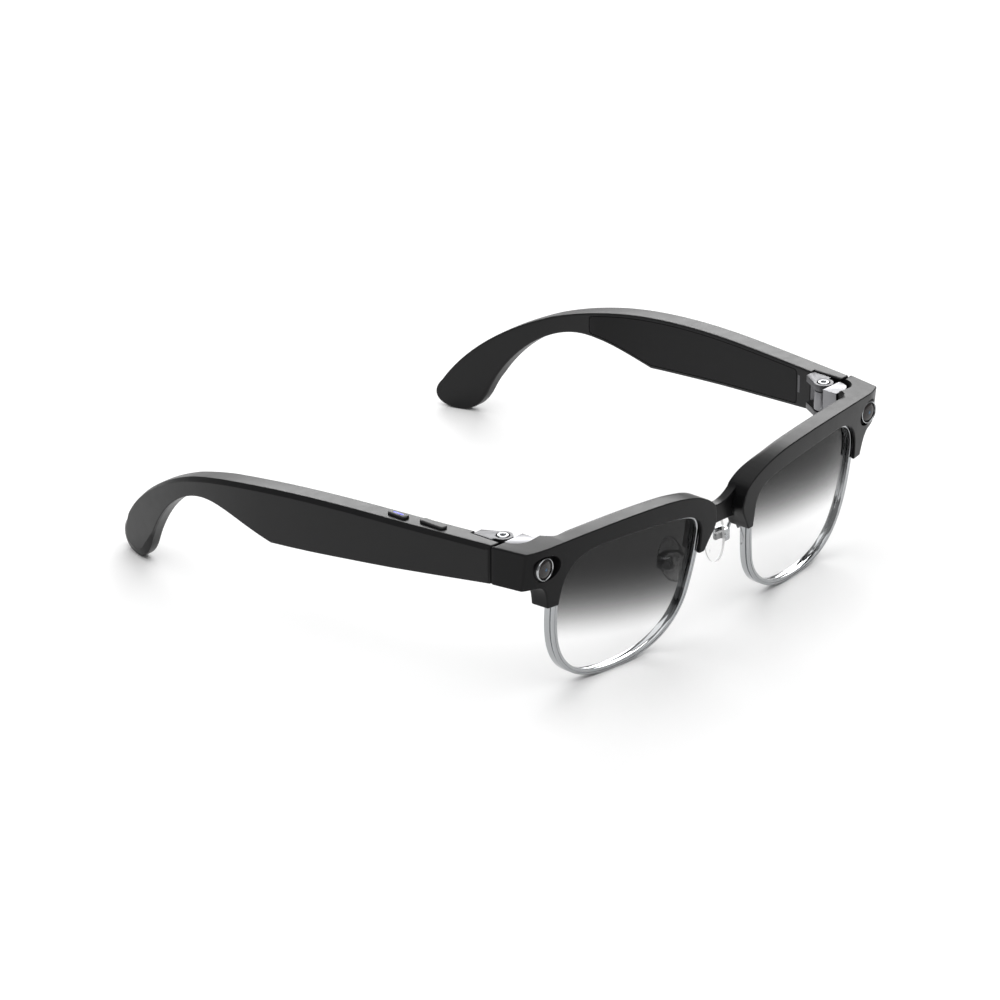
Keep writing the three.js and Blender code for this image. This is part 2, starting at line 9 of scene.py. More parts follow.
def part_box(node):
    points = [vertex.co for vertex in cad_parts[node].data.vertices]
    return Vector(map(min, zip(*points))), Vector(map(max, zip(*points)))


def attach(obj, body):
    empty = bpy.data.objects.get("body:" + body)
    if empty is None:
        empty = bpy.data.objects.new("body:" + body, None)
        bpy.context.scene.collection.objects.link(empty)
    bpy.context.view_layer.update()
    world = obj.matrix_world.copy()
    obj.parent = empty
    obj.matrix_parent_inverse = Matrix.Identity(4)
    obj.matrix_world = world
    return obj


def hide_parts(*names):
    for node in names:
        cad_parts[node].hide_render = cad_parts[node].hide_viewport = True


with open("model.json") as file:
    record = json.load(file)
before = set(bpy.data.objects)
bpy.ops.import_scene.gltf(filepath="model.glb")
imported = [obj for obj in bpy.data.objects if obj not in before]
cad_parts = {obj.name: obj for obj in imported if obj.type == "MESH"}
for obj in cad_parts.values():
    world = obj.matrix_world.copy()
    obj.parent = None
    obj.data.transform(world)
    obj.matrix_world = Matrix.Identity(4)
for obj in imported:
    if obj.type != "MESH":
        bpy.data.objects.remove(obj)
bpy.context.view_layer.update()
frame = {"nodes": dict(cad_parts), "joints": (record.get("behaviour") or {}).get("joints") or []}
NODES = frame["nodes"]
JOINTS = {joint["name"]: joint for joint in frame["joints"]}

# Shapes are drawn in millimetres in the design frame: X towards the wearer's left, the front
# faces -Y, Z up. The frame's hinge axis says where the design frame's Y = 0 lies.
MM = 0.001
WELD_WITHIN, SLIVER_UNDER = 0.004, 0.002
HINGE_X, HINGE_Y = 65.9, 12.1
ORIGIN_Y = HINGE_Y - JOINTS["left_temple_fold"]["pos_m"][1] / MM
SIDES = {"left": 1, "right": -1}

FACE_Y = -8.4
FACE_RADIUS = 329
WRAP_START, WRAP = 66, 0.03
TILT, TILT_Z = 0.12, 28.6
BROW_DEPTH = 5.3
TOP_Z = 43.5
ENDPIECE_BOTTOM = 33
SIDE_X, SIDE_SLOPE, SIDE_FROM = 72.5, 0.175, 60
SPLIT_Y = 9.1
BRIDGE_FRONT, BRIDGE_BACK = 3.9, 6.8
SADDLE_FROM, SADDLE_WIDTH = 20, 13
RIM_FRONT = 1.2

# The hinge block's room in the browbar's rear face: where the browbar starts to sweep back
# to it, its inner side, the start of its round corner, its outer side, and its front.
SWEEP_FROM, BLOCK_SIDE, BLOCK_CORNER, BLOCK_OUTER = 57, 62, 65, 69.1
BLOCK_FRONT = 4.4
ARM_TOP = 32.7
SCOOP_ABOVE, SCOOP_END = 42, 71.5

LENS_CAMERA = {"x": 66.7, "z": 38.2, "front": -2.7, "radius": 3.1}

TEMPLE_FRONT = 9.4
TEMPLE_THICK, TIP_THICK = 6.4, 3.4
THIN_FROM, THIN_TO = 98, 146
LEAF_SPACE = {"x": 70.2, "y": 18.9}
COVER_THICK, COVER_GAP = 1.2, 0.14
COVER_FROM, COVER_TO, COVER_INSET = 24, 100, 1.1


# ---------------------------------------------------------------- lines and outlines
class Line:
    """A flat line of straight stretches and curves, kept as points."""

    def __init__(self, u, v):
        self.points = [Vector((u, v))]

    def to(self, *corners):
        self.points += [Vector(corner) for corner in corners]
        return self

    def curve(self, first, second, end, steps=12):
        a, b, c, d = self.points[-1], Vector(first), Vector(second), Vector(end)
        for k in range(1, steps + 1):
            t = k / steps
            self.points.append(a * (1 - t) ** 3 + b * 3 * t * (1 - t) ** 2
                               + c * 3 * t * t * (1 - t) + d * t ** 3)
        return self

    def bend(self, middle, end, steps=12):
        a, b, c = self.points[-1], Vector(middle), Vector(end)
        for k in range(1, steps + 1):
            t = k / steps
            self.points.append(a * (1 - t) ** 2 + b * 2 * t * (1 - t) + c * t * t)
        return self


def is_left_turning(points):
    return sum(points[i - 1].cross(points[i]) for i in range(len(points))) > 0


def tidy_outline(points):
    """A closed outline that turns left, without repeated points."""
    kept = [p for i, p in enumerate(points) if (p - points[i - 1]).length > 1e-4]
    return kept if is_left_turning(kept) else kept[::-1]


def soften(points, radius, steps=4, sharpest=math.radians(24)):
    """Rounds the corners of a closed outline."""
    rounded = []
    for i, p in enumerate(points):
        before, after = points[i - 1] - p, points[(i + 1) % len(points)] - p
        turn = math.pi - before.angle(after)
        if turn < sharpest:
            rounded.append(p)
            continue
        reach = min(radius * math.tan(turn / 2), before.length * 0.45, after.length * 0.45)
        start, end = p + before.normalized() * reach, p + after.normalized() * reach
        for k in range(steps + 1):
            t = k / steps
            rounded.append(start * (1 - t) ** 2 + p * 2 * t * (1 - t) + end * t * t)
    return rounded


def inset(points, distance):
    """Moves a closed outline inwards. The distance may be a function of the point's number."""
    moved = []
    for i, p in enumerate(points):
        before = (p - points[i - 1]).normalized()
        after = (points[(i + 1) % len(points)] - p).normalized()
        side = Vector((-before.y, before.x))
        middle = side + Vector((-after.y, after.x))
        middle = middle.normalized() if middle.length > 1e-6 else side
        by = distance(i) if callable(distance) else distance
        moved.append(p + middle * by / max(middle.dot(side), 0.6))
    return moved


def mirrored(points):
    return [Vector((-p.x, p.y)) for p in points][::-1]


def clamp(value):
    return min(max(value, 0), 1)


def at(line, along):
    """Second coordinate of a line where its first coordinate has a given value."""
    for p, q in zip(line, line[1:]):
        if (p.x - along) * (q.x - along) <= 0 and abs(p.x - q.x) > 1e-9:
            return p.y + (q.y - p.y) * (along - p.x) / (q.x - p.x)
    return line[0].y if abs(along - line[0].x) < abs(along - line[-1].x) else line[-1].y


# ---------------------------------------------------------------- where the surfaces run
def face_y(x):
    return FACE_Y + x * x / (2 * FACE_RADIUS) + WRAP * max(0, abs(x) - WRAP_START) ** 2


def front_y(x, z):
    return face_y(x) - TILT * (z - TILT_Z)


OUTER_PLAN = Line(9.4 - 4, 73.45).to((TEMPLE_FRONT, 74)) \
    .curve((27, 76.2), (55, 80.6), (82, 80.6), 40).curve((104, 80.6), (125, 74), (150, 64.8), 40).points


def outer_x(y):
    return at(OUTER_PLAN, y)


def lean_at(y):
    """How much longer a way across the temple is along X, where the temple turns inwards."""
    return math.hypot(1, outer_x(y + 0.5) - outer_x(y - 0.5))


def thickness(y):
    t = clamp((y - THIN_FROM) / (THIN_TO - THIN_FROM))
    return TEMPLE_THICK + (TIP_THICK - TEMPLE_THICK) * t


def inner_x(y):
    return outer_x(y) - thickness(y) * lean_at(y)


# ---------------------------------------------------------------- meshes
def new_mesh(rings, closed=False, caps=True):
    """A mesh skinned over rings of points. Closed rings run round again to the first one."""
    mesh = bmesh.new()
    rows = [[mesh.verts.new(point) for point in ring] for ring in rings]
    pairs = list(zip(rows, rows[1:])) + ([(rows[-1], rows[0])] if closed else [])
    for row, following in pairs:
        for i in range(len(row)):
            mesh.faces.new((row[i - 1], row[i], following[i], following[i - 1]))
    if caps and not closed:
        mesh.faces.new(rows[0])
        mesh.faces.new(rows[-1][::-1])
    return mesh


def round_edge(radius, steps=3):
    """(inset, depth) pairs from a flat face round to its side."""
    angles = [math.pi / 2 * k / steps for k in range(steps + 1)]
    return [(radius * (1 - math.sin(a)), radius * (1 - math.cos(a))) for a in angles]


def slab(outline, thick, front_edge, back_edge):
    """A slab with shaped edges, as points (u, depth, v). An edge is a list of (inset, depth) pairs."""
    rings = [(step_in, depth) for step_in, depth in front_edge]
    rings += [(step_in, thick - depth) for step_in, depth in reversed(back_edge)]
    points = [[Vector((p.x, depth, p.y)) for p in inset(outline, step_in)] for step_in, depth in rings]
    mesh = new_mesh(points)
    bmesh.ops.triangulate(mesh, faces=[f for f in mesh.faces if len(f.verts) > 4], ngon_method="EAR_CLIP")
    return mesh


def slice_across(mesh, places, axis=0):
    """Cuts every face at planes across an axis, so that a flat mesh can be bent."""
    normal = Vector((axis == 0, axis == 1, axis == 2))
    for place in places:
        parts = mesh.verts[:] + mesh.edges[:] + mesh.faces[:]
        bmesh.ops.bisect_plane(mesh, geom=parts, dist=1e-5, plane_co=normal * place, plane_no=normal)


def spread(start, end, step):
    count = max(1, round((end - start) / step))
    return [start + (end - start) * k / count for k in range(count + 1)]


def bend_to(mesh, shape):
    for vertex in mesh.verts:
        vertex.co = Vector(shape(*vertex.co))
    return mesh


def lathe(profile, steps=48, axis="Y", squash=1.0):
    """A turned solid: (radius, along) pairs from one end of its axis to the other."""
    rings = []
    for radius, along in profile:
        ring = []
        for k in range(steps):
            a = 2 * math.pi * k / steps
            across, up = max(radius, 1e-3) * math.cos(a), max(radius, 1e-3) * squash * math.sin(a)
            ring.append({"Y": (across, along, up), "Z": (across, up, along), "X": (along, across, up)}[axis])
        rings.append([Vector(p) for p in ring])
    return new_mesh(rings)


def moved(mesh, x, y, z):
    bmesh.ops.translate(mesh, vec=(x, y, z), verts=mesh.verts)
    return mesh


def mirror(mesh):
    bmesh.ops.scale(mesh, vec=(-1, 1, 1), verts=mesh.verts)
    return mesh


def for_side(side, mesh):
    """The wearer's left piece as built, or its mirror image for the right."""
    return mesh if side == "left" else mirror(mesh)


def joined(*meshes):
    """Several meshes as one."""
    whole = bmesh.new()
    for mesh in meshes:
        data = bpy.data.meshes.new("part")
        mesh.to_mesh(data)
        whole.from_mesh(data)
        bpy.data.meshes.remove(data)
    return whole


def to_object(name, mesh):
    """A Blender object from a mesh in design millimetres."""
    bmesh.ops.recalc_face_normals(mesh, faces=mesh.faces)
    for vertex in mesh.verts:
        vertex.co = Vector((vertex.co.x, vertex.co.y - ORIGIN_Y, vertex.co.z)) * MM
    data = bpy.data.meshes.new(name)
    mesh.to_mesh(data)
    mesh.free()
    thing = bpy.data.objects.new(name, data)
    bpy.context.scene.collection.objects.link(thing)
    return thing


def apply_modifiers(thing):
    depsgraph = bpy.context.evaluated_depsgraph_get()
    data = bpy.data.meshes.new_from_object(thing.evaluated_get(depsgraph))
    thing.modifiers.clear()
    thing.data = data


def cut(thing, tools, operation="DIFFERENCE"):
    """Cuts the tools out of a piece (or joins them to it), then throws the tools away."""
    for tool in tools:
        step = thing.modifiers.new("cut", "BOOLEAN")
        step.operation = operation
        step.solver = "EXACT"
        step.object = tool
    apply_modifiers(thing)
    for tool in tools:
        bpy.data.objects.remove(tool)


def shade(thing, sharp=34):
    """Smooth shading with sharp edges kept, weighted by face area."""
    mesh = bmesh.new()
    mesh.from_mesh(thing.data)
    bmesh.ops.remove_doubles(mesh, verts=mesh.verts, dist=WELD_WITHIN * MM)
    bmesh.ops.dissolve_degenerate(mesh, edges=mesh.edges, dist=SLIVER_UNDER * MM)
    for face in mesh.faces:
        face.smooth = True
    for edge in mesh.edges:
        edge.smooth = len(edge.link_faces) == 2 and edge.calc_face_angle(0) < math.radians(sharp)
    mesh.to_mesh(thing.data)
    mesh.free()
    step = thing.modifiers.new("weighted_normals", "WEIGHTED_NORMAL")
    step.keep_sharp = True


def finish_piece(thing, body, material, replaces=(), sharp=34):
    shade(thing, sharp)
    thing.data.materials.clear()
    thing.data.materials.append(material)
    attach(thing, body)
    if replaces:
        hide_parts(*replaces)
    return thing


# ---------------------------------------------------------------- materials
class Paint:
    """A node material with the few steps that the finishes here share."""

    def __init__(self, name):
        self.material = bpy.data.materials.new(name)
        self.material.use_nodes = True
        self.tree = self.material.node_tree
        self.shader = self.tree.nodes["Principled BSDF"]
        self.place = self.tree.nodes.new("ShaderNodeTexCoord").outputs["Object"]

    def set(self, **values):
        for socket, value in values.items():
            self.shader.inputs[socket.replace("_", " ")].default_value = value
        return self

    def noise(self, scale, detail=3.0, roughness=0.5, stretch=None):
        node = self.tree.nodes.new("ShaderNodeTexNoise")
        node.inputs["Scale"].default_value = scale
        node.inputs["Detail"].default_value = detail
        node.inputs["Roughness"].default_value = roughness
        source = self.place
        if stretch:
            mapping = self.tree.nodes.new("ShaderNodeMapping")
            mapping.inputs["Scale"].default_value = stretch
            self.tree.links.new(source, mapping.inputs["Vector"])
            source = mapping.outputs["Vector"]
        self.tree.links.new(source, node.inputs["Vector"])
        return node.outputs["Fac"]

    def span(self, value, low, high, start=0.0, end=1.0, smooth=False):
        node = self.tree.nodes.new("ShaderNodeMapRange")
        if smooth:
            node.interpolation_type = "SMOOTHSTEP"
        for socket, number in (("From Min", start), ("From Max", end), ("To Min", low), ("To Max", high)):
            node.inputs[socket].default_value = number
        self.tree.links.new(value, node.inputs["Value"])
        return node.outputs["Result"]

    def mix(self, factor, low, high):
        node = self.tree.nodes.new("ShaderNodeMix")
        node.data_type = "RGBA"
        self.tree.links.new(factor, node.inputs["Factor"])
        for socket, colour in (("A", low), ("B", high)):
            target = [i for i in node.inputs if i.name == socket and i.type == "RGBA"][0]
            if isinstance(colour, tuple):
                target.default_value = (*colour, 1)
            else:
                self.tree.links.new(colour, target)
        return [o for o in node.outputs if o.type == "RGBA"][0]

    def link(self, value, socket):
        self.tree.links.new(value, self.shader.inputs[socket])
        return self

    def bump(self, value, strength, distance):
        node = self.tree.nodes.new("ShaderNodeBump")
        node.inputs["Strength"].default_value = strength
        node.inputs["Distance"].default_value = distance * MM
        self.tree.links.new(value, node.inputs["Height"])
        self.tree.links.new(node.outputs["Normal"], self.shader.inputs["Normal"])
        return self


def plastic(name, colour, roughness, grain=0.02, specular=0.3, variation=0.25):
    paint = Paint(name).set(Specular_IOR_Level=specular)
    cloud = paint.noise(70, 4)
    dark = tuple(c * (1 - variation) for c in colour)
    paint.link(paint.mix(cloud, dark, colour), "Base Color")
    paint.link(paint.span(paint.noise(260, 5), roughness * 0.85, roughness * 1.15), "Roughness")
    paint.bump(paint.noise(5200, 2), grain, 0.05)
    return paint.material


def metal(name, colour, roughness, brushed=None, grain=0.03):
    paint = Paint(name).set(Metallic=1.0)
    shade_of = paint.noise(150, 4)
    paint.link(paint.mix(shade_of, tuple(c * 0.93 for c in colour), colour), "Base Color")
    streaks = paint.noise(2600, 3, 0.6, brushed or (1, 1, 1))
    paint.link(paint.span(streaks, roughness * 0.7, roughness * 1.3), "Roughness")
    paint.bump(streaks, grain, 0.02)
    return paint.material


TINT_DARKEST = 0.03
TINT_BELOW, TINT_ABOVE = 13.5, 10
# For each lens: the height of the tint's middle, how much that falls for each mm towards +X,
# and the lens's centre along X.
TINT = {"left": (29.2, 0.11, 33.5), "right": (22.6, 0.2, -37.5)}


def tinted_glass(side):
    """Lens glass: a neutral tint, dark at the top and fading to clear below the middle."""
    paint = Paint(f"tinted_lens_{side}").set(Transmission_Weight=1.0, IOR=1.12, Specular_IOR_Level=0.5)
    middle, slope, centre = TINT[side]
    mapping = paint.tree.nodes.new("ShaderNodeMapping")
    mapping.inputs["Location"].default_value = (-centre * MM, 0, -middle * MM)
    paint.tree.links.new(paint.place, mapping.inputs["Vector"])
    along = paint.tree.nodes.new("ShaderNodeVectorMath")
    along.operation = "DOT_PRODUCT"
    along.inputs[1].default_value = (slope, 0, 1)
    paint.tree.links.new(mapping.outputs["Vector"], along.inputs[0])
    density = paint.span(along.outputs["Value"], 0, 1, -TINT_BELOW * MM, TINT_ABOVE * MM, smooth=True)
    through = paint.tree.nodes.new("ShaderNodeMath")
    through.operation = "POWER"
    through.inputs[0].default_value = TINT_DARKEST
    paint.tree.links.new(density, through.inputs[1])
    paint.link(through.outputs["Value"], "Base Color")
    paint.link(paint.span(paint.noise(300, 3), 0.0, 0.002), "Roughness")
    return paint.material


def clear_silicone(name, clearness, darkest):
    paint = Paint(name).set(Transmission_Weight=clearness, IOR=1.1)
    paint.link(paint.mix(paint.noise(120, 3), (darkest,) * 3, (0.97, 0.97, 0.97)), "Base Color")
    paint.link(paint.span(paint.noise(700, 4), 0.04, 0.12), "Roughness")
    paint.bump(paint.noise(900, 3), 0.03, 0.05)
    return paint.material


def dark_glass_with_painted_glint():
    """Dark lens glass with a painted blue glint at its middle: a reflection painted into the colour."""
    paint = Paint("camera_lens").set(IOR=1.45)
    apart = paint.tree.nodes.new("ShaderNodeVectorMath")
    apart.operation = "DISTANCE"
    sides = paint.tree.nodes.new("ShaderNodeVectorMath")
    sides.operation = "ABSOLUTE"
    paint.tree.links.new(paint.place, sides.inputs[0])
    paint.tree.links.new(sides.outputs["Vector"], apart.inputs[0])
    low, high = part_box("camera_glass_left")
    middle = (low + high) / 2
    apart.inputs[1].default_value = (middle.x, abs(middle.y), middle.z)
    distance = apart.outputs["Value"]
    # The blue patch at the middle is painted light, a glint reflected off the lens painted into the base
    # colour.
    painted_glint_blue, glass = (0.05, 0.26, 0.5), (0.012, 0.012, 0.016)
    glint_middle = paint.mix(paint.span(distance, 0, 1, 0.75 * MM, 1.15 * MM), painted_glint_blue, glass)
    rings = paint.mix(paint.noise(1500, 3), (0.004, 0.004, 0.005), (0.035, 0.028, 0.026))
    paint.link(paint.mix(paint.span(distance, 0, 1, 1.1 * MM, 1.7 * MM), glint_middle, rings), "Base Color")
    paint.link(paint.span(paint.noise(900, 2), 0.02, 0.06), "Roughness")
    return paint.material


def light_pipe():
    paint = Paint("blue_light_pipe").set(Emission_Strength=0.35)
    glow = paint.mix(paint.noise(2400, 2), (0.02, 0.02, 0.5), (0.04, 0.05, 0.85))
    paint.link(glow, "Base Color").link(glow, "Emission Color")
    paint.link(paint.span(paint.noise(900, 2), 0.25, 0.4), "Roughness")
    return paint.material


FRAME_BLACK = plastic("frame_black", (0.005, 0.005, 0.0055), 0.34, specular=0.16)
TEMPLE_BLACK = plastic("temple_black", (0.007, 0.007, 0.0075), 0.36, specular=0.24)
COVER_BLACK = plastic("cover_black", (0.005, 0.005, 0.0055), 0.36, specular=0.16)
BUTTON_BLACK = plastic("button_black", (0.008, 0.008, 0.009), 0.4, specular=0.35)
CHROME = metal("polished_chrome", (0.42, 0.43, 0.44), 0.09, grain=0.01)
STEEL = metal("satin_steel", (0.5, 0.51, 0.53), 0.3, brushed=(1, 1, 0.08))
BLOCK_STEEL = metal("block_steel", (0.24, 0.24, 0.25), 0.36)
LEAF_STEEL = metal("leaf_steel", (0.12, 0.12, 0.125), 0.42)
GOLD = metal("gold_plate", (0.75, 0.52, 0.2), 0.25)
LENS_GLASS = {side: tinted_glass(side) for side in SIDES}
SILICONE = clear_silicone("clear_silicone", 1.0, 0.92)
SILICONE_EDGE = clear_silicone("silicone_edge", 0.35, 0.6)
CAMERA_GLASS = dark_glass_with_painted_glint()
LIGHT_PIPE = light_pipe()
BOARD_GREEN = plastic("board_green", (0.02, 0.11, 0.05), 0.5, grain=0.1)
FLEX_COPPER = plastic("flex_copper", (0.42, 0.2, 0.07), 0.45)
CELL_FOIL = metal("cell_foil", (0.6, 0.61, 0.63), 0.35, grain=0.08)


# ---------------------------------------------------------------- camera, light and floor
AZIMUTH, ELEVATION = math.radians(-49.18), math.radians(23.97)
CAMERA_AT = Vector((-1.07453, -0.92646, 0.64511))
LENS_MM, SENSOR_MM = 208.2, 36
FLOOR_REACH = 4


def add_camera():
    flat = math.cos(ELEVATION)
    back = Vector((math.sin(AZIMUTH) * flat, -math.cos(AZIMUTH) * flat, math.sin(ELEVATION)))
    right = Vector((math.cos(AZIMUTH), math.sin(AZIMUTH), 0))
    up = back.cross(right)
    camera = bpy.data.objects.new("camera", bpy.data.cameras.new("camera"))
    camera.data.lens = LENS_MM
    camera.data.sensor_width = SENSOR_MM
    camera.data.clip_start = 0.05
    camera.data.clip_end = 20
    turned = Matrix((right, up, back)).transposed().to_4x4()
    camera.matrix_world = Matrix.Translation(CAMERA_AT) @ turned
    bpy.context.scene.collection.objects.link(camera)
    bpy.context.scene.camera = camera


def add_light(name, place, size, power, target=(0, 0, 0.02)):
    light = bpy.data.lights.new(name, "AREA")
    light.shape = "RECTANGLE"
    light.size, light.size_y = size
    light.energy = power
    lamp = bpy.data.objects.new(name, light)
    lamp.location = place
    lamp.rotation_euler = (Vector(target) - Vector(place)).to_track_quat("-Z", "Y").to_euler()
    bpy.context.scene.collection.objects.link(lamp)


def add_studio():
    world = bpy.data.worlds.new("studio")
    world.use_nodes = True
    world.node_tree.nodes["Background"].inputs["Color"].default_value = (1, 1, 1, 1)
    world.node_tree.nodes["Background"].inputs["Strength"].default_value = 0.3
    bpy.context.scene.world = world
    bpy.context.scene.view_settings.view_transform = "Standard"
    add_light("overhead", (-0.1, -0.1, 1.7), (2.8, 2.8), 38)
    add_light("back_card", (1.15, 0.95, 0.72), (1.2, 0.6), 15)


def add_floor():
    mesh = bpy.data.meshes.new("floor")
    corners = [(x * FLOOR_REACH, y * FLOOR_REACH, 0) for x, y in ((-1, -1), (1, -1), (1, 1), (-1, 1))]
    mesh.from_pydata(corners, [], [(0, 1, 2, 3)])
    floor = bpy.data.objects.new("floor", mesh)
    bpy.context.scene.collection.objects.link(floor)
    paint = Paint("pale_floor").set(Specular_IOR_Level=0.1)
    paint.link(paint.mix(paint.noise(3, 2), (0.97, 0.97, 0.97), (0.99, 0.99, 0.99)), "Base Color")
    paint.link(paint.span(paint.noise(5, 2), 0.85, 0.95), "Roughness")
    mesh.materials.append(paint.material)


# ---------------------------------------------------------------- front frame
BROW_TOP = Line(6.7, 37.8).curve((9.5, 40.8), (15, 43.4), (24, 44.4), 16) \
    .bend((44, 46.2), (SIDE_X, TOP_Z), 30).points
ARM_OUTER = Line(SIDE_X, ENDPIECE_BOTTOM).to((68.6, ENDPIECE_BOTTOM)) \
    .curve((66.4, ENDPIECE_BOTTOM), (65.5, 31), (64.7, 26.2), 14).points
OPENING = Line(61, 26.2).curve((60.6, 35), (57.4, 40), (48, 39.9), 22) \
    .bend((34, 40), (21, 38.3), 16).curve((14.4, 37.3), (11.3, 35.6), (11.3, 30), 16).to((11.2, 25)).points
NASAL_EDGE = Line(9.2, 25).to((8.5, 26.2)).curve((7.4, 28.6), (5.3, 31), (5.5, 32.4), 10) \
    .curve((5.5, 34.2), (5.9, 36.3), (6.7, 37.8), 8).points


def brow_back(x, z):
    """Y of the browbar's rear face, which sweeps back into the endpiece round the hinge block."""
    t = clamp((SADDLE_FROM - x) / SADDLE_WIDTH)
    plain = front_y(x, z) + BROW_DEPTH + (BRIDGE_BACK - BROW_DEPTH) * t * t * (3 - 2 * t)
    if x < SWEEP_FROM or z < ARM_TOP:
        return plain
    if x < BLOCK_SIDE:
        t = (x - SWEEP_FROM) / (BLOCK_SIDE - SWEEP_FROM)
        return plain + (BLOCK_FRONT - plain) * t ** 3
    if x < BLOCK_CORNER:
        return BLOCK_FRONT
    if x < BLOCK_OUTER:
        t = (x - BLOCK_CORNER) / (BLOCK_OUTER - BLOCK_CORNER)
        return BLOCK_FRONT + (SPLIT_Y - BLOCK_FRONT) * (1 - math.sqrt(max(0, 1 - t * t)))
    return SPLIT_Y


def browbar():
    """One side of the front: browbar, its two arms and the endpiece."""
    outline = soften(tidy_outline(BROW_TOP + ARM_OUTER + OPENING + NASAL_EDGE), 0.5)
    thick = 4.0

    def scoop(wide, plain):
        """The wide chamfer round the hinge, at the top of the endpiece's rear face."""
        def by(i):
            x, z = outline[i]
            if z <= SCOOP_ABOVE:
                return plain
            share = clamp((x - SWEEP_FROM) / (BLOCK_SIDE - SWEEP_FROM)) * clamp((SCOOP_END - x) / 2)
            return plain + (wide - plain) * share
        return by

    back_edge = [(scoop(1.5, 0.3), 0), (scoop(1.2, 0.1), 0.15), (scoop(0.5, 0), 0.6), (0, 1.3)]
    mesh = slab(outline, thick, round_edge(0.35), back_edge)
    slices = spread(6, 56, 2) + spread(SWEEP_FROM, BLOCK_SIDE, 0.5) + [64]
    slices += spread(BLOCK_CORNER, 69, 0.4) + [69.2, 70.5, 72]
    slice_across(mesh, slices)
    slice_across(mesh, [ARM_TOP - 0.1, ARM_TOP + 0.1], axis=2)

    def shape(x, depth, z):
        if depth < thick / 2:
            y = front_y(x, z) + depth
        else:
            y = brow_back(x, z) - (thick - depth)
        widened = max(0, x - SIDE_FROM) / (SIDE_X - SIDE_FROM) * SIDE_SLOPE * y
        return x + widened, y, z

    return bend_to(mesh, shape)


def bridge():
    half = Line(0, 34.6).curve((3, 34.6), (5.5, 36.3), (6.7, 37.8), 10)
    half.to((8.2, 38.0), (8.2, 28.2), (7.6, 28.5)).curve((5, 28.9), (2, 29), (0, 29), 8)
    outline = tidy_outline(half.points + mirrored(half.points))
    mesh = slab(soften(outline, 0.3), BRIDGE_BACK - BRIDGE_FRONT - 0.15, round_edge(0.3), round_edge(0.5))
    slice_across(mesh, spread(-8, 8, 2))
    return bend_to(mesh, lambda x, depth, z: (x, front_y(x, z) + BRIDGE_FRONT + depth, z))


def rim_outline(steps=30):
    line = Line(61.7, 27).curve((61.5, 9.5), (56.3, 0), (37.5, 0), steps)
    line.curve((23, 0), (14.5, 6), (12.4, 15.5), steps // 2)
    line.bend((10.4, 24), (10.3, 31), steps // 2).curve((10.3, 36.5), (13.5, 38.4), (22, 39.4), steps // 2)
    line.bend((35, 41), (48, 40.8), steps // 2).curve((57.5, 40.8), (61.9, 36), (61.7, 27), steps // 2)
    return tidy_outline(line.points)


def rim_seat():
    """The room that the eyewire needs behind the browbar's front skin."""
    mesh = slab(inset(rim_outline(), -0.12), 20, [(0, 0)], [(0, 0)])
    slice_across(mesh, spread(10, 62, 2))
    return bend_to(mesh, lambda x, depth, z: (x, front_y(x, z) + 0.95 + depth, z))


def camera_room():
    """The oval dish and the round bore behind it."""
    place = LENS_CAMERA
    dish = lathe([(0, -12), (5.6, -12), (4.9, -4), (4.7, -2.4), (4.4, -1.6), (0, -1.5)], 64, squash=0.77)
    bore = lathe([(0, -12), (3.25, -12), (3.25, 4.2), (0, 4.2)], 64)
    return moved(dish, place["x"], 0, place["z"]), moved(bore, place["x"], 0, place["z"])


def add_front():
    front = to_object("brow_moulding", browbar())
    cut(front, [to_object("other", mirror(browbar())), to_object("bridge", bridge())], "UNION")
    tools = []
    for side in SIDES:
        tools.append(to_object("seat", for_side(side, rim_seat())))
        tools += [to_object("room", for_side(side, mesh)) for mesh in camera_room()]
    cut(front, tools)
    finish_piece(front, "front", FRAME_BLACK, ["front_frame"])


# ---------------------------------------------------------------- eyewires and lenses
def rim():
    """The eyewire: a deep outer band, a fine groove and a narrow front flange."""
    outline = rim_outline(40)
    section = [(0.12, 0), (0.0, 0.12), (0.0, 0.6), (0.3, 0.7), (0.3, 0.98), (0.0, 1.08), (0.0, 2.8),
               (0.2, 3.0), (1.35, 3.0), (1.5, 2.85), (1.5, 1.9), (1.35, 1.75), (1.35, 1.05), (1.6, 0.85),
               (1.6, 0.12), (1.48, 0), (0.86, 0.0), (0.82, 0.1), (0.66, 0.1), (0.62, 0.0)]
    rings = [[Vector((p.x, front_y(p.x, p.y) + RIM_FRONT + depth, p.y)) for p in inset(outline, step_in)]
             for step_in, depth in section]
    return new_mesh(rings, closed=True)


def lens_glass():
    outline = inset(rim_outline(40), 1.38)
    middle = sum(outline, Vector((0, 0))) / len(outline)
    thick, dome = 1.3, 1.2
    scales = [1, 0.985, 0.94, 0.87, 0.78, 0.68, 0.56, 0.44, 0.32, 0.2, 0.1, 0.03]

    def ring(scale, depth):
        points = []
        for p in outline:
            q = middle + (p - middle) * scale
            bulge = dome * (1 - scale * scale)
            points.append(Vector((q.x, front_y(q.x, q.y) + RIM_FRONT + depth - bulge, q.y)))
        return points

    front = [ring(scale, 1.0) for scale in reversed(scales)]
    back = [ring(scale, 1.0 + thick * 0.55) for scale in scales]
    return new_mesh(front + back)


def add_rims():
    for side in SIDES:
        wire = to_object(f"rim_{side}", for_side(side, rim()))
        finish_piece(wire, "front", CHROME, [f"eyewire_{side}"], sharp=50)
        glass = to_object(f"lens_glass_{side}", for_side(side, lens_glass()))
        finish_piece(glass, "front", LENS_GLASS[side], [f"lens_{side}"], sharp=60)


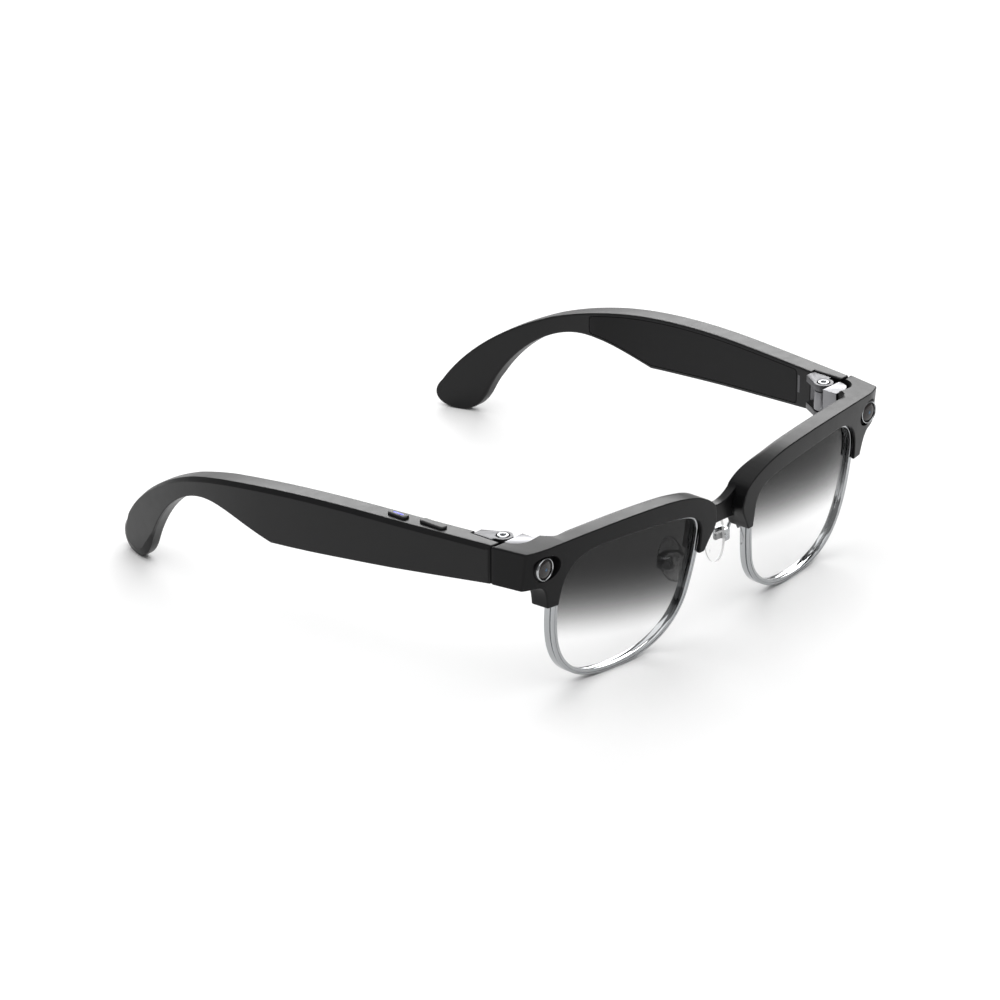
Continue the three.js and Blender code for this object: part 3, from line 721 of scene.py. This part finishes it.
# ---------------------------------------------------------------- temples
TOP_EDGE = Line(TEMPLE_FRONT, TOP_Z).to((20, 43.42), (30, 43.33), (38, 43.26), (46, 43.2)) \
    .curve((78, 42.8), (98, 39.2), (112, 34), 30).curve((129, 27), (140, 18), (146.3, 8), 24).points
TIP_EDGE = Line(146.3, 8).curve((149.5, 4.5), (148, 0), (141.5, 0), 20) \
    .curve((137, 0), (134, 2.5), (132, 7.5), 16).points
UNDER_EDGE = Line(132, 7.5).curve((126.5, 20), (115, 30.1), (103, 30.6), 24) \
    .curve((96, 30.9), (88, 28), (79, 26.1), 18).to((66, 27.3), (53, 28.6), (40, 29.8), (24, 31.47)) \
    .to((TEMPLE_FRONT, ENDPIECE_BOTTOM)).points


CHAMFER_END, CHAMFER_FADE = 140, 30
TIP_PATCH_TOP, TIP_PATCH_FADE, HOOK_FROM = 11, 6, 120


def temple_shape(thick):
    """Places a flat slab of the temple: u is Y, depth runs from the outer face inwards, v is Z."""
    def shape(y, depth, z):
        if depth < thick / 2:
            return outer_x(y) - depth * lean_at(y), y, z
        inner = LEAF_SPACE["x"] if y < LEAF_SPACE["y"] else inner_x(y)
        return inner + (thick - depth) * lean_at(y), y, z
    return shape


def side_part(start, end, below_top, above_under, step=3):
    """Outline of a panel on the temple's side, as points (y, z)."""
    stations = spread(start, end, step)
    upper = [Vector((y, at(TOP_EDGE, y) - below_top)) for y in stations]
    lower = [Vector((y, at(UNDER_EDGE[::-1], y) + above_under)) for y in reversed(stations)]
    return tidy_outline(upper + lower)


def temple_body():
    outline = tidy_outline(TOP_EDGE + TIP_EDGE[1:] + UNDER_EDGE[1:])
    outline = soften(outline, 0.3)
    thick = 3.0

    def on_top(point):
        """1 on the top edge, falling to 0 at the hook's end and on the underside."""
        if point.y < at(TOP_EDGE, min(max(point.x, TEMPLE_FRONT), 145)) - 1.2:
            return 0
        return clamp((CHAMFER_END - point.x) / CHAMFER_FADE)

    def on_tip(point):
        """1 at the hook's end, falling to 0 further up."""
        return clamp((TIP_PATCH_TOP - point.y) / TIP_PATCH_FADE) if point.x > HOOK_FROM else 0

    top_weights = [on_top(p) for p in outline]
    tip_weights = [on_tip(p) for p in outline]

    def chamfer(top, tip, plain):
        return lambda i: plain + (top - plain) * top_weights[i] + (tip - plain) * tip_weights[i]

    edge = [(chamfer(1.35, 2.2, 0.5), 0), (chamfer(1.22, 2.06, 0.3), 0.03), (chamfer(1.1, 1.9, 0.12), 0.12),
            (chamfer(0.16, 0.4, 0.02), 0.72), (chamfer(0.04, 0.1, 0), 0.86), (0, 1.1)]
    back = [(0.8, 0), (0.4, 0.1), (0.12, 0.34), (0, 0.7)]
    mesh = slab(outline, thick, edge, back)
    slice_across(mesh, spread(10, 18, 2) + [18.86, 18.94] + spread(20, 146, 2))
    return bend_to(mesh, temple_shape(thick))


def cover_cutter(grow):
    outline = side_part(COVER_FROM - grow, COVER_TO + grow, COVER_INSET - grow, COVER_INSET - grow)
    outline = soften(outline, 1.2)
    thick = COVER_THICK + grow
    mesh = slab(outline, thick, [(0, 0)], [(0, 0)])
    slice_across(mesh, spread(24, 100, 2))

    def shape(y, depth, z):
        return inner_x(y) + (thick - depth) * lean_at(y) - (0.6 if depth > thick / 2 else 0), y, z

    return bend_to(mesh, shape)


def cover_panel():
    outline = soften(side_part(COVER_FROM, COVER_TO, COVER_INSET, COVER_INSET), 1.2)
    thick = COVER_THICK - 0.05
    mesh = slab(outline, thick, [(0, 0)], round_edge(0.16, 2))
    slice_across(mesh, spread(24, 100, 2))
    return bend_to(mesh, lambda y, depth, z: (inner_x(y) + (thick - depth) * lean_at(y), y, z))


def add_temples():
    for side in SIDES:
        body = to_object(f"temple_arm_{side}", for_side(side, temple_body()))
        tools = [to_object("rebate", for_side(side, cover_cutter(COVER_GAP)))]
        if side == "right":
            tools += button_wells()
        cut(body, tools)
        housing = [f"temple_housing_{side}"]
        finish_piece(body, f"temple_{side}", TEMPLE_BLACK, housing, sharp=25)
        panel = to_object(f"inner_cover_{side}", for_side(side, cover_panel()))
        finish_piece(panel, f"temple_{side}", COVER_BLACK, [f"temple_cover_{side}"])


# ---------------------------------------------------------------- cameras
def add_cameras():
    place = LENS_CAMERA
    radius, front = place["radius"], place["front"]
    barrel = [(0, 5.4), (radius, 5.4), (radius, 0.75), (radius - 0.12, 0.5), (radius - 0.3, 0.42),
              (radius - 0.32, 0.9), (radius - 0.75, 1.5), (0, 1.5)]
    ring = [(radius - 0.02, 0.34), (radius - 0.02, -0.02), (radius - 0.1, -0.16), (radius - 0.22, -0.2),
            (radius - 0.34, -0.12), (radius - 0.4, 0.1), (radius - 0.4, 0.34)]
    dome = [(0, 1.3), (2.6, 1.3), (2.66, 0.5)]
    angles = [math.pi / 2 * k / 9 for k in range(1, 9)]
    dome += [(2.62 * math.cos(a), 0.42 - 0.75 * math.sin(a)) for a in angles]
    dome += [(0, -0.33)]
    for side in SIDES:
        pieces = (("barrel", lathe(barrel), BUTTON_BLACK, "frame_black", "camera_barrel"),
                  ("ring", ring_of(ring), CHROME, "chrome", "camera_ring"),
                  ("dome", lathe(dome), CAMERA_GLASS, "camera_glass", "camera_glass"))
        for name, mesh, paint, slot, node in pieces:
            moved(mesh, place["x"], front, place["z"])
            thing = to_object(f"front_camera_{name}_{side}", for_side(side, mesh))
            finish_piece(thing, "front", paint, [f"{node}_{side}"], sharp=50)


def ring_of(profile):
    """A turned ring, whose profile closes on itself."""
    steps = 72
    rings = []
    for radius, along in profile:
        angles = [2 * math.pi * k / steps for k in range(steps)]
        rings.append([Vector((radius * math.cos(a), along, radius * math.sin(a))) for a in angles])
    return new_mesh(rings, closed=True)


# ---------------------------------------------------------------- nose pads
PAD = {"x": 8.8, "y": 3.3, "z": 19.6, "wide": 3.8, "tall": 6.8, "box_x": 11.6}
PAD_WIRE_RADIUS = 0.5
PAD_TURN = Matrix.Rotation(math.radians(8), 3, "Y") @ Matrix.Rotation(math.radians(-14), 3, "Z")


def pad_form():
    """A thin egg-shaped pad, crowned on the side that meets the nose."""
    steps = 64
    outline = []
    for k in range(steps):
        a = 2 * math.pi * k / steps
        narrow = 1 - 0.14 * math.sin(a)
        outline.append(Vector((PAD["wide"] * narrow * math.cos(a), PAD["tall"] * math.sin(a))))
    thick = 1.3
    front_edge = [(3.3, -0.42), (2.6, -0.36), (1.7, -0.22), (0.9, -0.04)]
    front_edge += [(0.35, 0.14), (0.08, 0.38), (0, 0.6)]
    mesh = slab(outline, thick, front_edge, round_edge(0.3))
    return bend_to(mesh, lambda u, depth, v: Vector((PAD["x"], PAD["y"], PAD["z"]))
                   + PAD_TURN @ Vector((depth - 0.6, u, v)))


def pad_lug():
    outline = [Vector((PAD["x"] + 0.5, -0.9)), Vector((PAD["box_x"], -0.9))]
    outline += [Vector((PAD["box_x"] + 0.95 * math.sin(a), -0.95 * math.cos(a)))
                for a in (math.pi * k / 12 for k in range(1, 12))]
    outline += [Vector((PAD["box_x"], 0.9)), Vector((PAD["x"] + 0.5, 0.9))]
    mesh = slab(tidy_outline(outline), 1.0, round_edge(0.15), round_edge(0.15))
    return bend_to(mesh, lambda x, depth, z: (x, PAD["y"] - 0.5 + depth, PAD["z"] + z))


def pad_wire():
    """Centre line of the bent wire from the eyewire to the pad's box."""
    stations = [Vector(p) for p in ((11.6, -2.6, 23.3), (12.3, -1.2, 24.3), (13.6, 1.0, 24.0),
                                    (14.7, 2.8, 22.2), (14.4, 3.3, 20.4), (13.2, PAD["y"], PAD["z"]))]
    line = []
    for i in range(len(stations) - 1):
        a = stations[max(i - 1, 0)]
        b, c = stations[i], stations[i + 1]
        d = stations[min(i + 2, len(stations) - 1)]
        for k in range(8):
            t = k / 8
            line.append(0.5 * (2 * b + (c - a) * t + (2 * a - 5 * b + 4 * c - d) * t * t
                               + (3 * b - a - 3 * c + d) * t ** 3))
    return line + [stations[-1]]


def tube(line, radius, sides=14):
    rings = []
    side = Vector((0, 0, 1))
    for i, point in enumerate(line):
        along = (line[min(i + 1, len(line) - 1)] - line[max(i - 1, 0)]).normalized()
        side = (side - along * side.dot(along)).normalized()
        other = along.cross(side)
        rings.append([point + (side * math.cos(a) + other * math.sin(a)) * radius
                      for a in (2 * math.pi * k / sides for k in range(sides))])
    return new_mesh(rings)


def plate(outline, low, high, edge=0.12, axis="Z"):
    """A flat plate with rounded edges, drawn as (x, y) for axis Z, or (x, z) for axis Y."""
    corners = tidy_outline([Vector(p) for p in outline])
    mesh = slab(corners, high - low, round_edge(edge, 2), round_edge(edge, 2))
    if axis == "Z":
        return bend_to(mesh, lambda u, depth, v: (u, v, low + depth))
    return bend_to(mesh, lambda u, depth, v: (u, low + depth, v))


def pad_box():
    """The little open box that holds the pad's lug, from two cheeks and a back."""
    x0, x1, z0, z1 = PAD["box_x"] - 1.1, PAD["box_x"] + 1.8, PAD["z"] - 1.7, PAD["z"] + 1.7
    corners = soften([Vector(p) for p in ((x0, z0), (x1, z0), (x1, z1), (x0, z1))], 0.7)
    cheeks = [plate(corners, PAD["y"] + low, PAD["y"] + high, 0.15, "Y")
              for low, high in ((-1.6, -0.82), (0.82, 1.6))]
    back = [Vector(p) for p in ((x1 - 0.6, z0 + 0.1), (x1, z0 + 0.1), (x1, z1 - 0.1), (x1 - 0.6, z1 - 0.1))]
    return joined(*cheeks, plate(back, PAD["y"] - 1.2, PAD["y"] + 1.2, 0.1, "Y"))


def domed_screw(radius, shank, length):
    """A domed screw along Y, with the underside of its head at Y = 0."""
    profile = [(0, -length), (shank, -length), (shank, 0), (radius, 0), (radius, 0.18),
               (radius * 0.86, 0.32), (radius * 0.5, 0.42), (0, 0.45)]
    return lathe(profile, 40)


def frost_edge(pad, sign):
    """Gives the rim of a pad its milky look."""
    pad.data.materials.append(SILICONE_EDGE)
    through = PAD_TURN @ Vector((1, 0, 0))
    through.x *= sign
    for polygon in pad.data.polygons:
        if abs(polygon.normal.dot(through)) < 0.35:
            polygon.material_index = 1


def add_nose_pads():
    for side, sign in SIDES.items():
        pad = to_object(f"silicone_pad_{side}", for_side(side, joined(pad_form(), pad_lug())))
        finish_piece(pad, f"nose_pad_{side}", SILICONE, [f"nose_pad_{side}"], sharp=50)
        frost_edge(pad, sign)
        wire = joined(tube(pad_wire(), PAD_WIRE_RADIUS), pad_box())
        arm = to_object(f"pad_wire_{side}", for_side(side, wire))
        finish_piece(arm, "front", CHROME, [f"pad_arm_{side}"], sharp=40)
        mesh = moved(domed_screw(0.8, 0.38, 3.3), PAD["box_x"], PAD["y"] + 1.62, PAD["z"])
        screw = to_object(f"pad_pin_{side}", for_side(side, mesh))
        finish_piece(screw, "front", STEEL, [f"pad_screw_{side}"], sharp=50)


# ---------------------------------------------------------------- hinge screws
PIN_LOW, PIN_TOP = 33.6, 43.3


def add_hinge_screws():
    low, top = PIN_LOW, PIN_TOP
    profile = [(0, low), (0.8, low), (0.8, top - 0.6), (1.6, top - 0.6), (1.6, top - 0.18),
               (1.48, top - 0.04), (1.3, top), (0.85, top), (0.72, top - 0.1), (0.66, top - 0.5),
               (0, top - 0.5)]
    for side, sign in SIDES.items():
        screw = to_object(f"hinge_pin_{side}", moved(lathe(profile, 48, "Z"), sign * HINGE_X, HINGE_Y, 0))
        finish_piece(screw, f"temple_{side}", CHROME, [f"hinge_screw_{side}"], sharp=40)


# ---------------------------------------------------------------- buttons
BUTTONS = {"power": (39.9, 6.4), "volume": (29.2, 8.4)}
BUTTON_WIDTH, BUTTON_PROUD, BUTTON_DEPTH = 2.6, 0.7, 2.2
LIGHT_LENGTH, LIGHT_WIDTH = 3.6, 0.75
SLOT_FLOOR, SLOT_GAP, LIGHT_FLOOR = 0.25, 0.1, 0.27
WELL_DEPTH, WELL_GAP, WELL_HEIGHT = 2.6, 0.12, 4


def button_x(y):
    return -(outer_x(y) - TEMPLE_THICK / 2 - 0.3)


def stadium(x, y, length, width, steps=14):
    """A long round-ended outline, along Y."""
    radius, reach = width / 2, (length - width) / 2
    ends = []
    for start, middle in ((0, y + reach), (math.pi, y - reach)):
        for k in range(steps + 1):
            a = start + math.pi * k / steps
            ends.append(Vector((x + radius * math.cos(a), middle + radius * math.sin(a))))
    return ends


def add_buttons():
    for name, (y, length) in BUTTONS.items():
        x, top = button_x(y), at(TOP_EDGE, y)
        mesh = slab(stadium(x, y, length, BUTTON_WIDTH), BUTTON_PROUD + BUTTON_DEPTH,
                    [(0.1, 0), (0, 0.1)], [(0.5, 0), (0.28, 0.05), (0.1, 0.18), (0, 0.4)])
        bend_to(mesh, lambda u, depth, v: (u, v, top - BUTTON_DEPTH + depth))
        button = to_object(f"{name}_key", mesh)
        if name == "power":
            hole = stadium(x, y, LIGHT_LENGTH + SLOT_GAP, LIGHT_WIDTH + SLOT_GAP)
            slot = slab(hole, 2, [(0, 0)], [(0, 0)])
            bend_to(slot, lambda u, depth, v: (u, v, top + SLOT_FLOOR + depth))
            cut(button, [to_object("slot", slot)])
            light = slab(stadium(x, y, LIGHT_LENGTH, LIGHT_WIDTH), 0.44, [(0.05, 0), (0, 0.05)],
                         [(0.12, 0), (0.04, 0.03), (0, 0.1)])
            bend_to(light, lambda u, depth, v: (u, v, top + LIGHT_FLOOR + depth))
            glow = to_object("blue_light", light)
            finish_piece(glow, "power_button", LIGHT_PIPE, ["status_light"])
        finish_piece(button, f"{name}_button", BUTTON_BLACK, [f"{name}_button"], sharp=40)


def button_wells():
    """Cutters for the wells round the two buttons, in the wearer's right temple."""
    wells = []
    for y, length in BUTTONS.values():
        x, top = button_x(y), at(TOP_EDGE, y)
        outline = stadium(x, y, length + WELL_GAP, BUTTON_WIDTH + WELL_GAP)
        mesh = slab(outline, WELL_HEIGHT, [(0, 0)], [(0, 0)])
        bend_to(mesh, lambda u, depth, v: (u, v, top - WELL_DEPTH + depth))
        wells.append(to_object("well", mesh))
    return wells


# ---------------------------------------------------------------- nodes shown as they are
def soften_node(node, width):
    """Rounds a kept CAD node's edges with modifiers, and leaves its mesh alone."""
    weld = node.modifiers.new("weld", "WELD")
    weld.merge_threshold = SLIVER_UNDER * MM
    bevel = node.modifiers.new("bevel", "BEVEL")
    bevel.width = width * MM
    bevel.segments = 3
    bevel.limit_method = "ANGLE"
    bevel.angle_limit = math.radians(32)
    bevel.harden_normals = True
    for polygon in node.data.polygons:
        polygon.use_smooth = True


SOFTENED = {"hinge_block": 0.25, "hinge_leaf": 0.15, "eyewire_screw": 0.1, "camera_board": 0.08}


def paint_nodes():
    finishes = {
        "camera_barrel": BUTTON_BLACK, "camera_ring": CHROME, "camera_glass": CAMERA_GLASS,
        "camera_board": BOARD_GREEN, "temple_board": BOARD_GREEN, "front_flex_cable": FLEX_COPPER,
        "battery": CELL_FOIL, "speaker": STEEL, "microphone": GOLD, "charging_contact": GOLD,
        "eyewire_screw": STEEL, "pad_screw": STEEL, "pad_arm": CHROME, "nose_pad": SILICONE,
        "hinge_block": BLOCK_STEEL, "hinge_leaf": LEAF_STEEL, "hinge_screw": CHROME,
        "power_button_switch": STEEL, "volume_button_switch": STEEL,
        "power_button": BUTTON_BLACK, "volume_button": BUTTON_BLACK, "status_light": LIGHT_PIPE,
        "front_frame": FRAME_BLACK, "temple_housing": TEMPLE_BLACK, "temple_cover": COVER_BLACK,
        "eyewire": CHROME, "lens": LENS_GLASS["left"],
    }
    for name, node in NODES.items():
        key = max((start for start in finishes if name.startswith(start)), key=len)
        node.data.materials.clear()
        node.data.materials.append(finishes[key])
        for start, width in SOFTENED.items():
            if name.startswith(start):
                soften_node(node, width)


add_camera()
add_studio()
add_floor()
paint_nodes()
add_front()
add_rims()
add_temples()
add_cameras()
add_nose_pads()
add_hinge_screws()
add_buttons()
